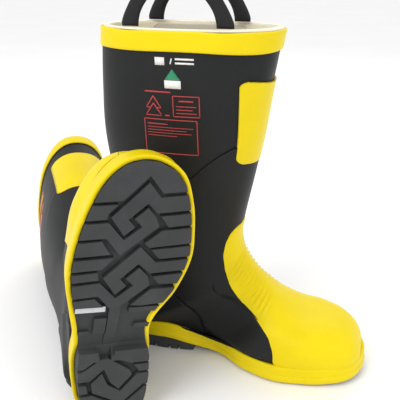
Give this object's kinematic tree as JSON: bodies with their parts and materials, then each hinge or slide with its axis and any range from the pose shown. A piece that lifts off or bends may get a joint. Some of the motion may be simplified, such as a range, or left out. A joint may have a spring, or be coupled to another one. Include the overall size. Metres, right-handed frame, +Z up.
{
  "type": "fire boots",
  "caption": "Pair of tall firefighter's rubber boots with guarded toe and shin, lugged sole, felt lining and flexing pull handles; one stands, one lies sole forward.",
  "frame": {"origin": "on the flat tread face of the left heel's rear block, level with the floor", "axes": "+X from heel to toe of the left boot, +Y towards its outer side, +Z up"},
  "size_m": [0.5431, 0.4176, 0.455],
  "materials": {
    "black_rubber": "smooth moulded rubber, satin",
    "yellow_rubber": "smooth moulded rubber, satin",
    "sole_rubber": "matte moulded tread rubber",
    "felt": "needle-punched felt, matte",
    "steel": "bare pressed steel",
    "fibre_board": "pressed fibre board",
    "footbed": "fabric-covered foam"
  },
  "bodies": {
    "left_boot": {"left_outsole": "sole_rubber", "left_arch_plaque": "sole_rubber", "left_rand": "yellow_rubber", "left_upper": "black_rubber", "left_lining": "felt", "left_midsole_plate": "steel", "left_shank": "steel", "left_insole_board": "fibre_board", "left_insole": "footbed", "left_vamp": "yellow_rubber", "left_toe_cap": "steel", "left_toe_strip": "black_rubber", "left_heel_counter": "black_rubber", "left_heel_overlay": "black_rubber", "left_ankle_overlay": "black_rubber", "left_shin_guard": "yellow_rubber", "left_backstay": "black_rubber", "left_collar": "yellow_rubber", "left_anchor_inner": "black_rubber", "left_anchor_outer": "black_rubber", "left_patch_inner": "felt", "left_patch_outer": "felt"},
    "right_boot": {"right_outsole": "sole_rubber", "right_arch_plaque": "sole_rubber", "right_rand": "yellow_rubber", "right_upper": "black_rubber", "right_lining": "felt", "right_midsole_plate": "steel", "right_shank": "steel", "right_insole_board": "fibre_board", "right_insole": "footbed", "right_vamp": "yellow_rubber", "right_toe_cap": "steel", "right_toe_strip": "black_rubber", "right_heel_counter": "black_rubber", "right_heel_overlay": "black_rubber", "right_ankle_overlay": "black_rubber", "right_shin_guard": "yellow_rubber", "right_backstay": "black_rubber", "right_collar": "yellow_rubber", "right_anchor_inner": "black_rubber", "right_anchor_outer": "black_rubber", "right_patch_inner": "felt", "right_patch_outer": "felt"},
    "left_handle_inner": {"left_handle_inner": "black_rubber"},
    "left_handle_outer": {"left_handle_outer": "black_rubber"},
    "right_handle_inner": {"right_handle_inner": "black_rubber"},
    "right_handle_outer": {"right_handle_outer": "black_rubber"}
  },
  "joints": [
    {"name": "right_boot_slide", "type": "slide", "parent": "left_boot", "child": "right_boot", "axis": [0, -1, 0], "range_m": [0, 0.4]},
    {"name": "left_handle_inner_flex", "type": "hinge", "parent": "left_boot", "child": "left_handle_inner", "pos_m": [0.061, -0.076, 0.40225], "axis": [1, 0, 0], "range_deg": [-25, 25], "stiffness_Nm_per_rad": 1.5},
    {"name": "left_handle_outer_flex", "type": "hinge", "parent": "left_boot", "child": "left_handle_outer", "pos_m": [0.061, -0.006, 0.40225], "axis": [1, 0, 0], "range_deg": [-25, 25], "stiffness_Nm_per_rad": 1.5},
    {"name": "right_handle_inner_flex", "type": "hinge", "parent": "right_boot", "child": "right_handle_inner", "pos_m": [-0.18137, 0.16128, 0.09906], "axis": [0.1744, 0.0739, 0.9819], "range_deg": [-25, 25], "stiffness_Nm_per_rad": 1.5},
    {"name": "right_handle_outer_flex", "type": "hinge", "parent": "right_boot", "child": "right_handle_outer", "pos_m": [-0.23486, 0.11797, 0.11182], "axis": [0.1744, 0.0739, 0.9819], "range_deg": [-25, 25], "stiffness_Nm_per_rad": 1.5}
  ]
}
